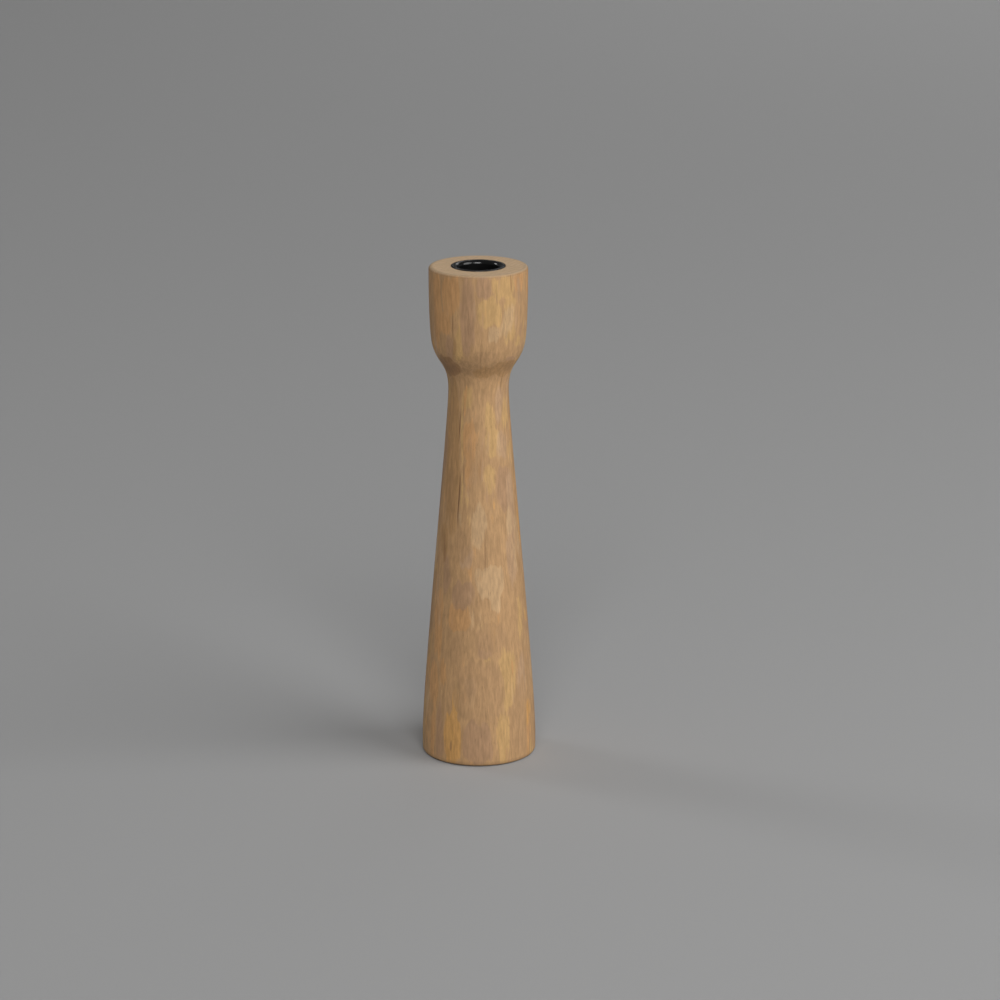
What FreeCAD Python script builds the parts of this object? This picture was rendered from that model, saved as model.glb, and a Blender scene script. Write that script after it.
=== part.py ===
import FreeCAD
import Part

import math
import os

# A turned wooden candlestick for one dinner candle.
# A pressed steel cup is let into the top of the wood and held by one screw, and a felt pad lies in the foot.
# Lengths are in millimetres and angles in degrees.
# The origin is the middle of the foot where it meets the table, and +Z is up the stick.

# Turned stick, named from the top down
stick_height = 280.0
rim_radius = 27.3
rim_edge_radius = 1.5
haunch_radius = 25.6
haunch_drop = 43.3
haunch_lean = 12.0
neck_radius = 16.7
neck_drop = 69.3
foot_radius = 31.9
foot_widest_height = 10.0
foot_sweep_radius = 330.0
foot_edge_radius = 1.4

# How far each curve holds its direction as it leaves one station and reaches the next, as shares of their drop
wall_pull_shares = (0.40, 0.16)
underside_pull_shares = (0.445, 0.593)
taper_pull_shares = (0.089, 0.149)

# Mark left in the underside by the lathe's centre
centre_mark_radius = 2.5
centre_mark_angle = 60.0

# Candle that the cup is made for
candle_radius = 11.0
candle_clearance = 0.3

# Candle cup, pressed from sheet steel
cup_wall = 0.8
cup_depth = 25.0
cup_throat_radius = 2.0
cup_floor_bend_radius = 2.0
cup_flange_radius = 15.0
cup_flange_edge_radius = 0.3
cup_flange_proud = 0.3

# Room between the cup and the wood
cup_side_clearance = 0.1
cup_floor_gap = 0.3
flange_seat_clearance = 0.15

# Screw that holds the cup down
screw_radius = 1.75
screw_length = 16.0
screw_tip_length = 4.0
screw_head_radius = 3.4
screw_head_height = 1.6
screw_head_rim_height = 0.7
screw_recess_span = 3.6
screw_recess_width = 0.9
screw_recess_depth = 0.9
screw_hole_clearance = 0.25
screw_pilot_clearance = 0.05
screw_pilot_spare_depth = 1.0

# Felt pad in the foot
pad_radius = 27.0
pad_thickness = 2.0
pad_proud = 0.5
pad_side_clearance = 0.3

# How far a cutting tool runs past the face where it enters
cut_overrun = 1.0

# Places that follow from the sizes
cup_bore_radius = candle_radius + candle_clearance
cup_outer_radius = cup_bore_radius + cup_wall
flange_top = stick_height + cup_flange_proud
flange_seat = flange_top - cup_wall
cup_floor = flange_top - cup_depth
cup_bottom = cup_floor - cup_wall
wood_bore_radius = cup_outer_radius + cup_side_clearance
wood_bore_floor = cup_bottom - cup_floor_gap
screw_hole_radius = screw_radius + screw_hole_clearance
screw_pilot_radius = screw_radius + screw_pilot_clearance
screw_tip = cup_floor - screw_length
wood_bottom = pad_proud
pad_ceiling = pad_thickness

ORIGIN = FreeCAD.Vector(0, 0, 0)
UP = FreeCAD.Vector(0, 0, 1)
FULL_TURN = 360.0
RIGHT_ANGLE = 90.0


def at(radius, height):
    """A point of a turned outline, which is drawn in the XZ plane."""
    return FreeCAD.Vector(radius, 0, height)


def downwards(lean):
    """Direction of an outline that runs down and leans in towards the axis."""
    angle = math.radians(lean)
    return FreeCAD.Vector(-math.sin(angle), 0, -math.cos(angle))


def outwards(lean):
    """Direction square to that outline, away from the material."""
    angle = math.radians(lean)
    return FreeCAD.Vector(math.cos(angle), 0, -math.sin(angle))


def line(start, end):
    return Part.LineSegment(start, end).toShape()


def arc(centre, radius, first_lean, last_lean):
    """An arc about a centre, from one lean to another, with its outside away from the centre."""
    middle_lean = (first_lean + last_lean) / 2
    points = [centre + outwards(lean) * radius for lean in (first_lean, middle_lean, last_lean)]
    return Part.Arc(*points).toShape()


def easy_curve(start, start_lean, end, end_lean, pull_shares):
    """A cubic curve between two stations that leaves and arrives at their leans."""
    drop = start.z - end.z
    leaving = start + downwards(start_lean) * (pull_shares[0] * drop)
    arriving = end - downwards(end_lean) * (pull_shares[1] * drop)
    curve = Part.BezierCurve()
    curve.setPoles([start, leaving, arriving, end])
    return curve.toShape()


def turned(edges):
    """The solid that a closed outline makes when it is turned about the axis."""
    outline = Part.Wire(Part.__sortEdges__(edges))
    return Part.Face(outline).revolve(ORIGIN, UP, FULL_TURN)


def bored(radius, floor, mouth):
    """A round cutter that stands on the axis."""
    return Part.makeCylinder(radius, mouth - floor, at(0, floor))


def stick_outline():
    """Outside of the stick: rim, bowl wall, underside of the bowl, neck, taper and foot."""
    rim = at(rim_radius, stick_height - rim_edge_radius)
    haunch = at(haunch_radius, stick_height - haunch_drop)
    neck = at(neck_radius, stick_height - neck_drop)
    foot = at(foot_radius, foot_widest_height)

    rim_edge_centre = at(rim_radius - rim_edge_radius, rim.z)
    rim_edge = arc(rim_edge_centre, rim_edge_radius, -RIGHT_ANGLE, 0)

    # The foot draws in a little below its widest place, then rounds over into the underside.
    foot_centre = at(foot_radius - foot_sweep_radius, foot_widest_height)
    tuck = (foot_widest_height - foot_edge_radius - wood_bottom) / (foot_sweep_radius - foot_edge_radius)
    tuck_lean = math.degrees(math.asin(tuck))
    foot_sweep = arc(foot_centre, foot_sweep_radius, 0, tuck_lean)
    foot_edge_centre = foot_centre + outwards(tuck_lean) * (foot_sweep_radius - foot_edge_radius)
    foot_edge = arc(foot_edge_centre, foot_edge_radius, tuck_lean, RIGHT_ANGLE)

    top_middle = at(0, stick_height)
    underside_middle = at(0, wood_bottom)
    return [
        line(top_middle, at(rim_edge_centre.x, stick_height)),
        rim_edge,
        easy_curve(rim, 0, haunch, haunch_lean, wall_pull_shares),
        easy_curve(haunch, haunch_lean, neck, 0, underside_pull_shares),
        easy_curve(neck, 0, foot, 0, taper_pull_shares),
        foot_sweep,
        foot_edge,
        line(at(foot_edge_centre.x, wood_bottom), underside_middle),
        line(underside_middle, top_middle),
    ]


def cup_socket():
    """Everything that is bored out of the stick's top for the cup and its screw."""
    mouth = stick_height + cut_overrun
    seat = bored(cup_flange_radius + flange_seat_clearance, flange_seat, mouth)
    bore = bored(wood_bore_radius, wood_bore_floor, mouth)

    # The edge of the bore is cut back at 45 degrees to clear the bend under the flange.
    relief = cup_throat_radius - cup_wall
    chamfer = Part.makeCone(wood_bore_radius, wood_bore_radius + relief, relief, at(0, flange_seat - relief))

    pilot = bored(screw_pilot_radius, screw_tip - screw_pilot_spare_depth, wood_bore_floor + cut_overrun)
    return seat.fuse([bore, chamfer, pilot])


def foot_recess():
    """The shallow recess for the pad, with the mark of the lathe's centre in its ceiling."""
    recess = bored(pad_radius + pad_side_clearance, wood_bottom - cut_overrun, pad_ceiling)
    mark_depth = centre_mark_radius / math.tan(math.radians(centre_mark_angle / 2))
    mark = Part.makeCone(centre_mark_radius, 0, mark_depth, at(0, pad_ceiling))
    return recess.fuse(mark)


def turned_stick():
    """The wood: one piece, turned outside, then bored at both ends."""
    return turned(stick_outline()).cut(cup_socket()).cut(foot_recess())


def candle_cup():
    """A thin pressed cup: pierced floor, straight side, rounded throat and a flange that lies in the wood."""
    throat_centre = at(cup_bore_radius + cup_throat_radius, flange_top - cup_throat_radius)
    bend_centre = at(cup_bore_radius - cup_floor_bend_radius, cup_floor + cup_floor_bend_radius)
    edge_centre = at(cup_flange_radius - cup_flange_edge_radius, flange_top - cup_flange_edge_radius)
    return turned([
        line(at(screw_hole_radius, cup_floor), at(bend_centre.x, cup_floor)),
        arc(bend_centre, cup_floor_bend_radius, RIGHT_ANGLE, 0),
        line(at(cup_bore_radius, bend_centre.z), at(cup_bore_radius, throat_centre.z)),
        arc(throat_centre, cup_throat_radius, -2 * RIGHT_ANGLE, -RIGHT_ANGLE),
        line(at(throat_centre.x, flange_top), at(edge_centre.x, flange_top)),
        arc(edge_centre, cup_flange_edge_radius, -RIGHT_ANGLE, 0),
        line(at(cup_flange_radius, edge_centre.z), at(cup_flange_radius, flange_seat)),
        line(at(cup_flange_radius, flange_seat), at(throat_centre.x, flange_seat)),
        arc(throat_centre, cup_throat_radius - cup_wall, -RIGHT_ANGLE, -2 * RIGHT_ANGLE),
        line(at(cup_outer_radius, throat_centre.z), at(cup_outer_radius, bend_centre.z)),
        arc(bend_centre, cup_floor_bend_radius + cup_wall, 0, RIGHT_ANGLE),
        line(at(bend_centre.x, cup_bottom), at(screw_hole_radius, cup_bottom)),
        line(at(screw_hole_radius, cup_bottom), at(screw_hole_radius, cup_floor)),
    ])


def screw_recess():
    """The cross in the screw's head: two slots at right angles."""
    head_top = cup_floor + screw_head_height
    depth = screw_recess_depth + cut_overrun
    corner = FreeCAD.Vector(-screw_recess_span / 2, -screw_recess_width / 2, head_top - screw_recess_depth)
    slot = Part.makeBox(screw_recess_span, screw_recess_width, depth, corner)
    other_slot = slot.copy()
    other_slot.rotate(ORIGIN, UP, RIGHT_ANGLE)
    return slot.fuse(other_slot)


def cup_screw():
    """A pan head wood screw. Its head stands on the cup's floor and its point is in the wood."""
    crown = screw_head_height - screw_head_rim_height
    dome_radius = (screw_head_radius ** 2 + crown ** 2) / (2 * crown)
    dome_centre = at(0, cup_floor + screw_head_height - dome_radius)
    rim_lean = -math.degrees(math.acos(screw_head_radius / dome_radius))
    head_rim = at(screw_head_radius, cup_floor + screw_head_rim_height)
    tip_shoulder = screw_tip + screw_tip_length
    blank = turned([
        arc(dome_centre, dome_radius, -RIGHT_ANGLE, rim_lean),
        line(head_rim, at(screw_head_radius, cup_floor)),
        line(at(screw_head_radius, cup_floor), at(screw_radius, cup_floor)),
        line(at(screw_radius, cup_floor), at(screw_radius, tip_shoulder)),
        line(at(screw_radius, tip_shoulder), at(0, screw_tip)),
        line(at(0, screw_tip), at(0, cup_floor + screw_head_height)),
    ])
    return blank.cut(screw_recess())


def base_pad():
    """A disc of felt, stuck up into the recess and standing a little proud of the wood."""
    return Part.makeCylinder(pad_radius, pad_thickness)


def main():
    pieces = {
        "turned_stick": turned_stick(),
        "candle_cup": candle_cup(),
        "cup_screw": cup_screw(),
        "base_pad": base_pad(),
    }
    os.makedirs("parts", exist_ok=True)
    for name, shape in pieces.items():
        shape.exportStep("parts/" + name + ".step")
        box = shape.optimalBoundingBox(False)
        print(f"{name}: {len(shape.Solids)} solid, {shape.Volume / 1000:.2f} cm3, "
              f"{box.XLength:.1f} x {box.YLength:.1f} x {box.ZLength:.1f} mm, valid {shape.isValid()}")


main()
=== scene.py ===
# %% [markdown]
# # A turned candlestick with a pressed candle cup
#
# One piece of wood is turned between the centres of a lathe. A thin steel cup for the candle
# is let into its top and held by one screw, and a felt pad is stuck up into its foot.
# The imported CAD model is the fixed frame: every piece below is made in metres, in its place.

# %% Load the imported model
import math

import bmesh
import bpy
import numpy as np
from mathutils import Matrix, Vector, noise


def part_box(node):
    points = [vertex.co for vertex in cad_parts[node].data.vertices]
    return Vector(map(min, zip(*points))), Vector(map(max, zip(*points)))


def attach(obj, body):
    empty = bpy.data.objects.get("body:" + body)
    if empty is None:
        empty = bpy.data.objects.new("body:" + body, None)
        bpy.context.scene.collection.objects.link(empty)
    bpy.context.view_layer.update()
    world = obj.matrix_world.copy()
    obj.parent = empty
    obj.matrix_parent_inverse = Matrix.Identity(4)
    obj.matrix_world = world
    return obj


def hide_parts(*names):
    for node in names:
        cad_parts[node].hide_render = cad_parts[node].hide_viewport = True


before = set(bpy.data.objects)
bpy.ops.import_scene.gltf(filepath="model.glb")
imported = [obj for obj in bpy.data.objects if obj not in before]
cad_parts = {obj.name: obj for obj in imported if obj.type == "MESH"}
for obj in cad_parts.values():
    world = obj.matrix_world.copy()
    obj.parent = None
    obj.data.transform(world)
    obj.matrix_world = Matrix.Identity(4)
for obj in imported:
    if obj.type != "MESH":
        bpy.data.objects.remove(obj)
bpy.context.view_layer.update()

stick_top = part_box("turned_stick")[1].z * 1000
cup_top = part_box("candle_cup")[1].z * 1000
print(f"wood up to {stick_top:.1f} mm, cup up to {cup_top:.1f} mm")

# %% [markdown]
# ## Outlines
#
# A turner works from a half outline: radius against height. Each outline here is a list of
# points (radius, height, wear), in millimetres, where wear is 1 on an edge that hands and
# candles rub. On the wood a worn edge is also darkened, partly as painted shade, and on the
# cup the worn flat of the flange is greyed, partly as a painted reflection. Between its
# stations the stick's outline is an easy curve, one that leaves and arrives at a given lean,
# so a few named sizes give the whole shape.

# %% Straight runs, arcs and easy curves
MM = 0.001


def straight(start, end, spacing):
    """Points from start towards end, without the end itself."""
    steps = max(1, round(math.dist(start, end) / spacing))
    points = []
    for step in range(steps):
        t = step / steps
        points.append((start[0] + (end[0] - start[0]) * t, start[1] + (end[1] - start[1]) * t, 0.0))
    return points


def bend(centre, radius, first_lean, last_lean, steps, wear_and_painted_light=0.0):
    """Points of an arc. A lean of 0 faces out, 90 faces down and -90 faces up."""
    points = []
    for step in range(steps + 1):
        lean = math.radians(first_lean + (last_lean - first_lean) * step / steps)
        points.append((centre[0] + radius * math.cos(lean), centre[1] - radius * math.sin(lean), wear_and_painted_light))
    return points


def easy_curve(start, start_lean, end, end_lean, pulls, spacing):
    """Points of a cubic curve between two stations, top to bottom, without the end itself."""
    drop = start[1] - end[1]
    first, last = math.radians(start_lean), math.radians(end_lean)
    leaving = (start[0] - math.sin(first) * pulls[0] * drop, start[1] - math.cos(first) * pulls[0] * drop)
    arriving = (end[0] + math.sin(last) * pulls[1] * drop, end[1] + math.cos(last) * pulls[1] * drop)
    poles = (start, leaving, arriving, end)
    steps = round(math.dist(start, end) / spacing)
    points = []
    for step in range(steps):
        t = step / steps
        weights = ((1 - t) ** 3, 3 * (1 - t) ** 2 * t, 3 * (1 - t) * t ** 2, t ** 3)
        radius = sum(weight * pole[0] for weight, pole in zip(weights, poles))
        height = sum(weight * pole[1] for weight, pole in zip(weights, poles))
        points.append((radius, height, 0.0))
    return points


# %% Sizes of the stick, from the top down, and of what is bored out of it
RIM_RADIUS, RIM_EDGE = 27.3, 1.5
HAUNCH, HAUNCH_LEAN = (25.6, stick_top - 43.3), 12
NECK = (16.7, stick_top - 69.3)
FOOT, FOOT_SWEEP, FOOT_EDGE = (31.9, 10.0), 330.0, 1.4
WOOD_BOTTOM = 0.5

CUP_WALL, CUP_DEPTH = 0.8, 25.0
CUP_SEAT, CUP_FLOOR = cup_top - CUP_WALL, cup_top - CUP_DEPTH
SEAT_LIP, SEAT_RADIUS = 15.5, 15.15
RELIEF_RADIUS, RELIEF_DEPTH = 13.4, 1.2
BORE_RADIUS, BORE_MIDDLE, BORE_FLOOR = 12.2, 262.0, 254.2
PILOT_RADIUS, PILOT_FLOOR = 1.8, 238.3
RECESS_RADIUS, RECESS_LIP, PAD_CEILING = 27.3, 0.6, 2.0
MARK_RADIUS, MARK_DEPTH = 2.5, 4.33

# How far each curve holds its direction at its two ends, as shares of its drop
WALL_PULLS, UNDER_BOWL_PULLS, TAPER_PULLS = (0.40, 0.16), (0.445, 0.593), (0.089, 0.149)
ROW_SPACING, FLAT_SPACING = 1.45, 1.2
print(f"rim {2 * RIM_RADIUS:.1f} mm, neck {2 * NECK[0]:.1f} mm and foot {2 * FOOT[0]:.1f} mm across")


# %% The stick's outline, from the mark in the underside out, up over the foot and down into the bore
def stick_outline():
    rim = (RIM_RADIUS, stick_top - RIM_EDGE)
    top_down = bend((RIM_RADIUS - RIM_EDGE, rim[1]), RIM_EDGE, -90, 0, 7, wear_and_painted_light=1.0)[:-1]
    top_down += easy_curve(rim, 0, HAUNCH, HAUNCH_LEAN, WALL_PULLS, ROW_SPACING)
    top_down += easy_curve(HAUNCH, HAUNCH_LEAN, NECK, 0, UNDER_BOWL_PULLS, ROW_SPACING)
    top_down += easy_curve(NECK, 0, FOOT, 0, TAPER_PULLS, ROW_SPACING)

    # The foot draws in a little below its widest place, then rounds over into the underside.
    sweep_centre = (FOOT[0] - FOOT_SWEEP, FOOT[1])
    tuck = math.asin((FOOT[1] - FOOT_EDGE - WOOD_BOTTOM) / (FOOT_SWEEP - FOOT_EDGE))
    edge_centre = (sweep_centre[0] + math.cos(tuck) * (FOOT_SWEEP - FOOT_EDGE), WOOD_BOTTOM + FOOT_EDGE)
    top_down += bend(sweep_centre, FOOT_SWEEP, 0, math.degrees(tuck), 6)[:-1]
    top_down += bend(edge_centre, FOOT_EDGE, math.degrees(tuck), 90, 7, wear_and_painted_light=1.0)

    underside = [
        (0.0, PAD_CEILING + MARK_DEPTH, 0.0),
        (MARK_RADIUS, PAD_CEILING, 0.0),
        (15.0, PAD_CEILING, 0.0),
        (RECESS_RADIUS, PAD_CEILING, 0.0),
        (RECESS_RADIUS, WOOD_BOTTOM, 0.5),
    ]
    lip = (RECESS_RADIUS + RECESS_LIP, WOOD_BOTTOM)
    underside += straight(lip, (edge_centre[0], WOOD_BOTTOM), FLAT_SPACING)
    top = straight((RIM_RADIUS - RIM_EDGE, stick_top), (SEAT_LIP, stick_top), FLAT_SPACING)[1:]
    bore = [
        (SEAT_LIP, stick_top, 0.0),
        (SEAT_RADIUS, stick_top - 0.05, 0.6),
        (SEAT_RADIUS, CUP_SEAT, 0.0),
        (RELIEF_RADIUS, CUP_SEAT, 0.0),
        (BORE_RADIUS, CUP_SEAT - RELIEF_DEPTH, 0.0),
        (BORE_RADIUS, BORE_MIDDLE, 0.0),
        (BORE_RADIUS, BORE_FLOOR, 0.0),
        (PILOT_RADIUS, BORE_FLOOR, 0.0),
        (PILOT_RADIUS, PILOT_FLOOR, 0.0),
        (0.0, PILOT_FLOOR, 0.0),
    ]
    return underside + top_down[::-1] + top + bore


print(f"the stick's outline has {len(stick_outline())} points")

# %% [markdown]
# ## The lathe
#
# Every piece of this object is round, so one Geometry Nodes tree turns them all. It lays out
# a grid with one row for each point of the outline, bends it round the axis, and welds the
# seam and the poles. The outline's wear is carried over to the turned surface. The seam lies
# at the back. A modifier's Screw would turn an outline too, but would drop its wear.

# %% Helpers for any node tree
def add_node(tree, kind, options=None, feeds=None):
    """Add a node, set its options, and give its inputs a value or another node's output."""
    node = tree.nodes.new(kind)
    for option, value in (options or {}).items():
        setattr(node, option, value)
    for socket, feed in (feeds or {}).items():
        if isinstance(feed, bpy.types.NodeSocket):
            tree.links.new(feed, node.inputs[socket])
        else:
            node.inputs[socket].default_value = feed
    return node


def sums(tree, operation, *values, clamp=False):
    """The result of a Math node."""
    options = {"operation": operation, "use_clamp": clamp}
    return add_node(tree, "ShaderNodeMath", options, dict(enumerate(values))).outputs[0]


def vector_sums(tree, operation, *values):
    """The result of a Vector Math node that gives a vector."""
    options = {"operation": operation}
    return add_node(tree, "ShaderNodeVectorMath", options, dict(enumerate(values))).outputs[0]


def vector(tree, x=0.0, y=0.0, z=0.0):
    """Three values as one vector."""
    return add_node(tree, "ShaderNodeCombineXYZ", None, {"X": x, "Y": y, "Z": z}).outputs[0]


def ranged(tree, value, low, high, to_low=0.0, to_high=1.0):
    """A value carried over from one range to another, and held inside it."""
    feeds = {"Value": value, "From Min": low, "From Max": high, "To Min": to_low, "To Max": to_high}
    return add_node(tree, "ShaderNodeMapRange", None, feeds).outputs["Result"]


def new_tree(name, kind, inputs, outputs):
    """An empty node group with named inputs and outputs."""
    tree = bpy.data.node_groups.new(name, kind)
    for way, sockets in (("INPUT", inputs), ("OUTPUT", outputs)):
        for socket, (sort, value) in sockets.items():
            made = tree.interface.new_socket(socket, in_out=way, socket_type="NodeSocket" + sort)
            if value is not None:
                made.default_value = value
    return tree, tree.nodes.new("NodeGroupInput").outputs, tree.nodes.new("NodeGroupOutput").inputs


def finish_tree(tree, geometry, finish, made):
    """Realize a geometry, give it its material, and link it to the tree's output."""
    real = add_node(tree, "GeometryNodeRealizeInstances", None, {"Geometry": geometry})
    feeds = {"Geometry": real.outputs[0], "Material": finish}
    dressed = add_node(tree, "GeometryNodeSetMaterial", None, feeds)
    tree.links.new(dressed.outputs[0], made)


# %% The lathe tree
def make_lathe():
    inputs = {
        "Outline": ("Geometry", None),
        "Columns": ("Int", 64),
        "Weld": ("Float", 0.000001),
        "Finish": ("Material", None),
    }
    tree, given, made = new_tree("turn_on_lathe", "GeometryNodeTree", inputs, {"Turned": ("Geometry", None)})
    outline = given["Outline"]
    rows = add_node(tree, "GeometryNodeAttributeDomainSize", {"component": "MESH"}, {"Geometry": outline})
    around = sums(tree, "ADD", given["Columns"], 1)
    feeds = {"Vertices X": rows.outputs["Point Count"], "Vertices Y": around}
    grid = add_node(tree, "GeometryNodeMeshGrid", None, feeds)
    index = add_node(tree, "GeometryNodeInputIndex").outputs[0]
    row = sums(tree, "FLOOR", sums(tree, "DIVIDE", sums(tree, "ADD", index, 0.5), around))
    column = sums(tree, "SUBTRACT", index, sums(tree, "MULTIPLY", row, around))

    # Each point of the grid takes its radius and height from its row of the outline.
    where = add_node(tree, "GeometryNodeInputPosition").outputs[0]
    feeds = {"Geometry": outline, "Value": where, "Index": row}
    point = add_node(tree, "GeometryNodeSampleIndex", {"data_type": "FLOAT_VECTOR"}, feeds).outputs[0]
    place = add_node(tree, "ShaderNodeSeparateXYZ", None, {0: point}).outputs
    turn = sums(tree, "DIVIDE", sums(tree, "MULTIPLY", column, math.tau), given["Columns"])
    x = sums(tree, "MULTIPLY", place["X"], sums(tree, "MULTIPLY", sums(tree, "SINE", turn), -1))
    y = sums(tree, "MULTIPLY", place["X"], sums(tree, "COSINE", turn))
    feeds = {"Geometry": grid.outputs["Mesh"], "Position": vector(tree, x, y, place["Z"])}
    bent = add_node(tree, "GeometryNodeSetPosition", None, feeds)

    # It takes its wear from there too.
    rubbed_and_painted_light = add_node(tree, "GeometryNodeInputNamedAttribute", {"data_type": "FLOAT"}, {"Name": "wear_and_painted_light"})
    feeds = {"Geometry": outline, "Value": rubbed_and_painted_light.outputs["Attribute"], "Index": row}
    rub_and_painted_light = add_node(tree, "GeometryNodeSampleIndex", {"data_type": "FLOAT"}, feeds).outputs[0]
    options = {"data_type": "FLOAT", "domain": "POINT"}
    feeds = {"Geometry": bent.outputs[0], "Name": "wear_and_painted_light", "Value": rub_and_painted_light}
    kept = add_node(tree, "GeometryNodeStoreNamedAttribute", options, feeds)
    feeds = {"Geometry": kept.outputs[0], "Distance": given["Weld"]}
    welded = add_node(tree, "GeometryNodeMergeByDistance", None, feeds)
    finish_tree(tree, welded.outputs[0], given["Finish"], made["Turned"])
    return tree


lathe = make_lathe()
print(f"the lathe tree has {len(lathe.nodes)} nodes")


# %% Put an outline on the lathe and take off a plain mesh
def placed(name, data):
    """A new object in the scene."""
    thing = bpy.data.objects.new(name, data)
    bpy.context.scene.collection.objects.link(thing)
    return thing


def add_tree(blank, tree, settings):
    """Put a Geometry Nodes tree on a blank, and set the tree's inputs by name."""
    modifier = blank.modifiers.new(tree.name, "NODES")
    modifier.node_group = tree
    for item in tree.interface.items_tree:
        if item.item_type == "SOCKET" and item.in_out == "INPUT" and item.name in settings:
            modifier[item.identifier] = settings[item.name]


def taken_off(blank, name):
    """Turn what the blank's modifiers make into a plain mesh object, and remove the blank."""
    graph = bpy.context.evaluated_depsgraph_get()
    mesh = bpy.data.meshes.new_from_object(blank.evaluated_get(graph), depsgraph=graph)
    mesh.name = name
    bpy.data.objects.remove(blank)
    return placed(name, mesh)


def face_out(piece, sharp=38.0):
    """Point a closed mesh's faces outwards, and shade it smooth but for its sharp edges."""
    work = bmesh.new()
    work.from_mesh(piece.data)
    bmesh.ops.recalc_face_normals(work, faces=work.faces)
    work.to_mesh(piece.data)
    work.free()
    piece.data.shade_smooth()
    piece.data.set_sharp_from_angle(angle=math.radians(sharp))


def triangles(piece):
    return sum(len(face.vertices) - 2 for face in piece.data.polygons)


def turned(name, outline, columns, finish):
    """A piece with this outline, turned with so many columns of faces round it."""
    mesh = bpy.data.meshes.new(name + "_outline")
    points = [(radius * MM, 0, height * MM) for radius, height, wear_and_painted_light in outline]
    mesh.from_pydata(points, [(i, i + 1) for i in range(len(points) - 1)], [])
    worn_and_painted_light = mesh.attributes.new("wear_and_painted_light", "FLOAT", "POINT")
    worn_and_painted_light.data.foreach_set("value", [wear_and_painted_light for radius, height, wear_and_painted_light in outline])
    blank = placed(name + "_blank", mesh)
    add_tree(blank, lathe, {"Columns": columns, "Finish": finish})
    piece = taken_off(blank, name)
    face_out(piece)
    print(f"{name}: {len(piece.data.vertices)} points, {triangles(piece)} triangles")
    return piece


# %% [markdown]
# ## Effects that several finishes share
#
# Three small shader groups are built once. Streaks is a noise drawn out along the stick, for
# wood fibres and felt hairs. Cloud is a soft mottle, for gloss that is never quite even and
# for growth rings that are never quite round. Ragged patch turns a soft painted value into a
# patch with a frayed edge, for stained wood and for worn enamel alike. Each is placed in a
# material with its own values.

# %% Streaks, clouds and ragged patches
def make_streaks():
    inputs = {
        "Place": ("Vector", None),
        "Across": ("Float", 500.0),
        "Along": ("Float", 50.0),
        "Start": ("Vector", (0.0, 0.0, 0.0)),
        "Detail": ("Float", 2.0),
    }
    tree, given, made = new_tree("streaks", "ShaderNodeTree", inputs, {"Streak": ("Float", None)})
    stretch = vector(tree, given["Across"], given["Across"], given["Along"])
    drawn = vector_sums(tree, "MULTIPLY_ADD", given["Place"], stretch, given["Start"])
    feeds = {"Vector": drawn, "Scale": 1.0, "Detail": given["Detail"], "Roughness": 0.55}
    fleck = add_node(tree, "ShaderNodeTexNoise", None, feeds)
    tree.links.new(fleck.outputs["Fac"], made["Streak"])
    return tree


def make_cloud():
    inputs = {
        "Place": ("Vector", None),
        "Size": ("Float", 100.0),
        "Low": ("Float", 0.0),
        "High": ("Float", 1.0),
    }
    tree, given, made = new_tree("cloud", "ShaderNodeTree", inputs, {"Value": ("Float", None)})
    feeds = {"Vector": given["Place"], "Scale": given["Size"], "Detail": 4.0}
    puff = add_node(tree, "ShaderNodeTexNoise", None, feeds)
    tree.links.new(ranged(tree, puff.outputs["Fac"], 0.3, 0.7, given["Low"], given["High"]), made["Value"])
    return tree


def make_ragged_patch():
    inputs = {
        "Painted": ("Float", 0.0),
        "Fray": ("Float", 0.5),
        "Raggedness": ("Float", 0.5),
        "Softness": ("Float", 0.1),
    }
    tree, given, made = new_tree("ragged_patch", "ShaderNodeTree", inputs, {"Patch": ("Float", None)})
    push = sums(tree, "MULTIPLY", sums(tree, "SUBTRACT", given["Fray"], 0.5), given["Raggedness"])
    feeds = {
        "Value": sums(tree, "ADD", given["Painted"], push),
        "From Min": sums(tree, "SUBTRACT", 0.5, given["Softness"]),
        "From Max": sums(tree, "ADD", 0.5, given["Softness"]),
    }
    patch = add_node(tree, "ShaderNodeMapRange", {"interpolation_type": "SMOOTHSTEP"}, feeds)
    tree.links.new(patch.outputs["Result"], made["Patch"])
    return tree


streaks, cloud, ragged_patch = make_streaks(), make_cloud(), make_ragged_patch()
print("shared groups:", streaks.name, cloud.name, ragged_patch.name)


# %% Start a material, place a shared group in it, and what else the finishes share
def new_finish(name):
    material = bpy.data.materials.new(name)
    material.use_nodes = True
    tree = material.node_tree
    place = add_node(tree, "ShaderNodeTexCoord").outputs["Object"]
    return material, tree, tree.nodes["Principled BSDF"], place


def use_group(tree, group, feeds):
    return add_node(tree, "ShaderNodeGroup", {"node_tree": group}, feeds).outputs[0]


def streak(tree, place, across, along, start, detail=2.0):
    """A streak value. Across and along are the streaks' width and length in millimetres."""
    feeds = {
        "Place": place,
        "Across": 1000 / across,
        "Along": 1000 / along,
        "Start": (start, start, start),
        "Detail": detail,
    }
    return use_group(tree, streaks, feeds)


def clouded(tree, place, size, low, high):
    """A soft mottle from low to high. Size is how many clouds lie along a metre."""
    return use_group(tree, cloud, {"Place": place, "Size": size, "Low": low, "High": high})


def frayed(tree, value, fray, raggedness, softness):
    """A patch where a value is over a half, with its edge frayed."""
    feeds = {"Painted": value, "Fray": fray, "Raggedness": raggedness, "Softness": softness}
    return use_group(tree, ragged_patch, feeds)


def painted(tree, name):
    """A value that is painted on the mesh."""
    return add_node(tree, "ShaderNodeAttribute", {"attribute_name": name}).outputs["Fac"]


def blend_colour(tree, share, below, above, kind="MIX"):
    options = {"data_type": "RGBA", "blend_type": kind}
    return add_node(tree, "ShaderNodeMix", options, {0: share, 6: below, 7: above}).outputs[2]


def grey(tree, value):
    return vector(tree, value, value, value)


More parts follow.
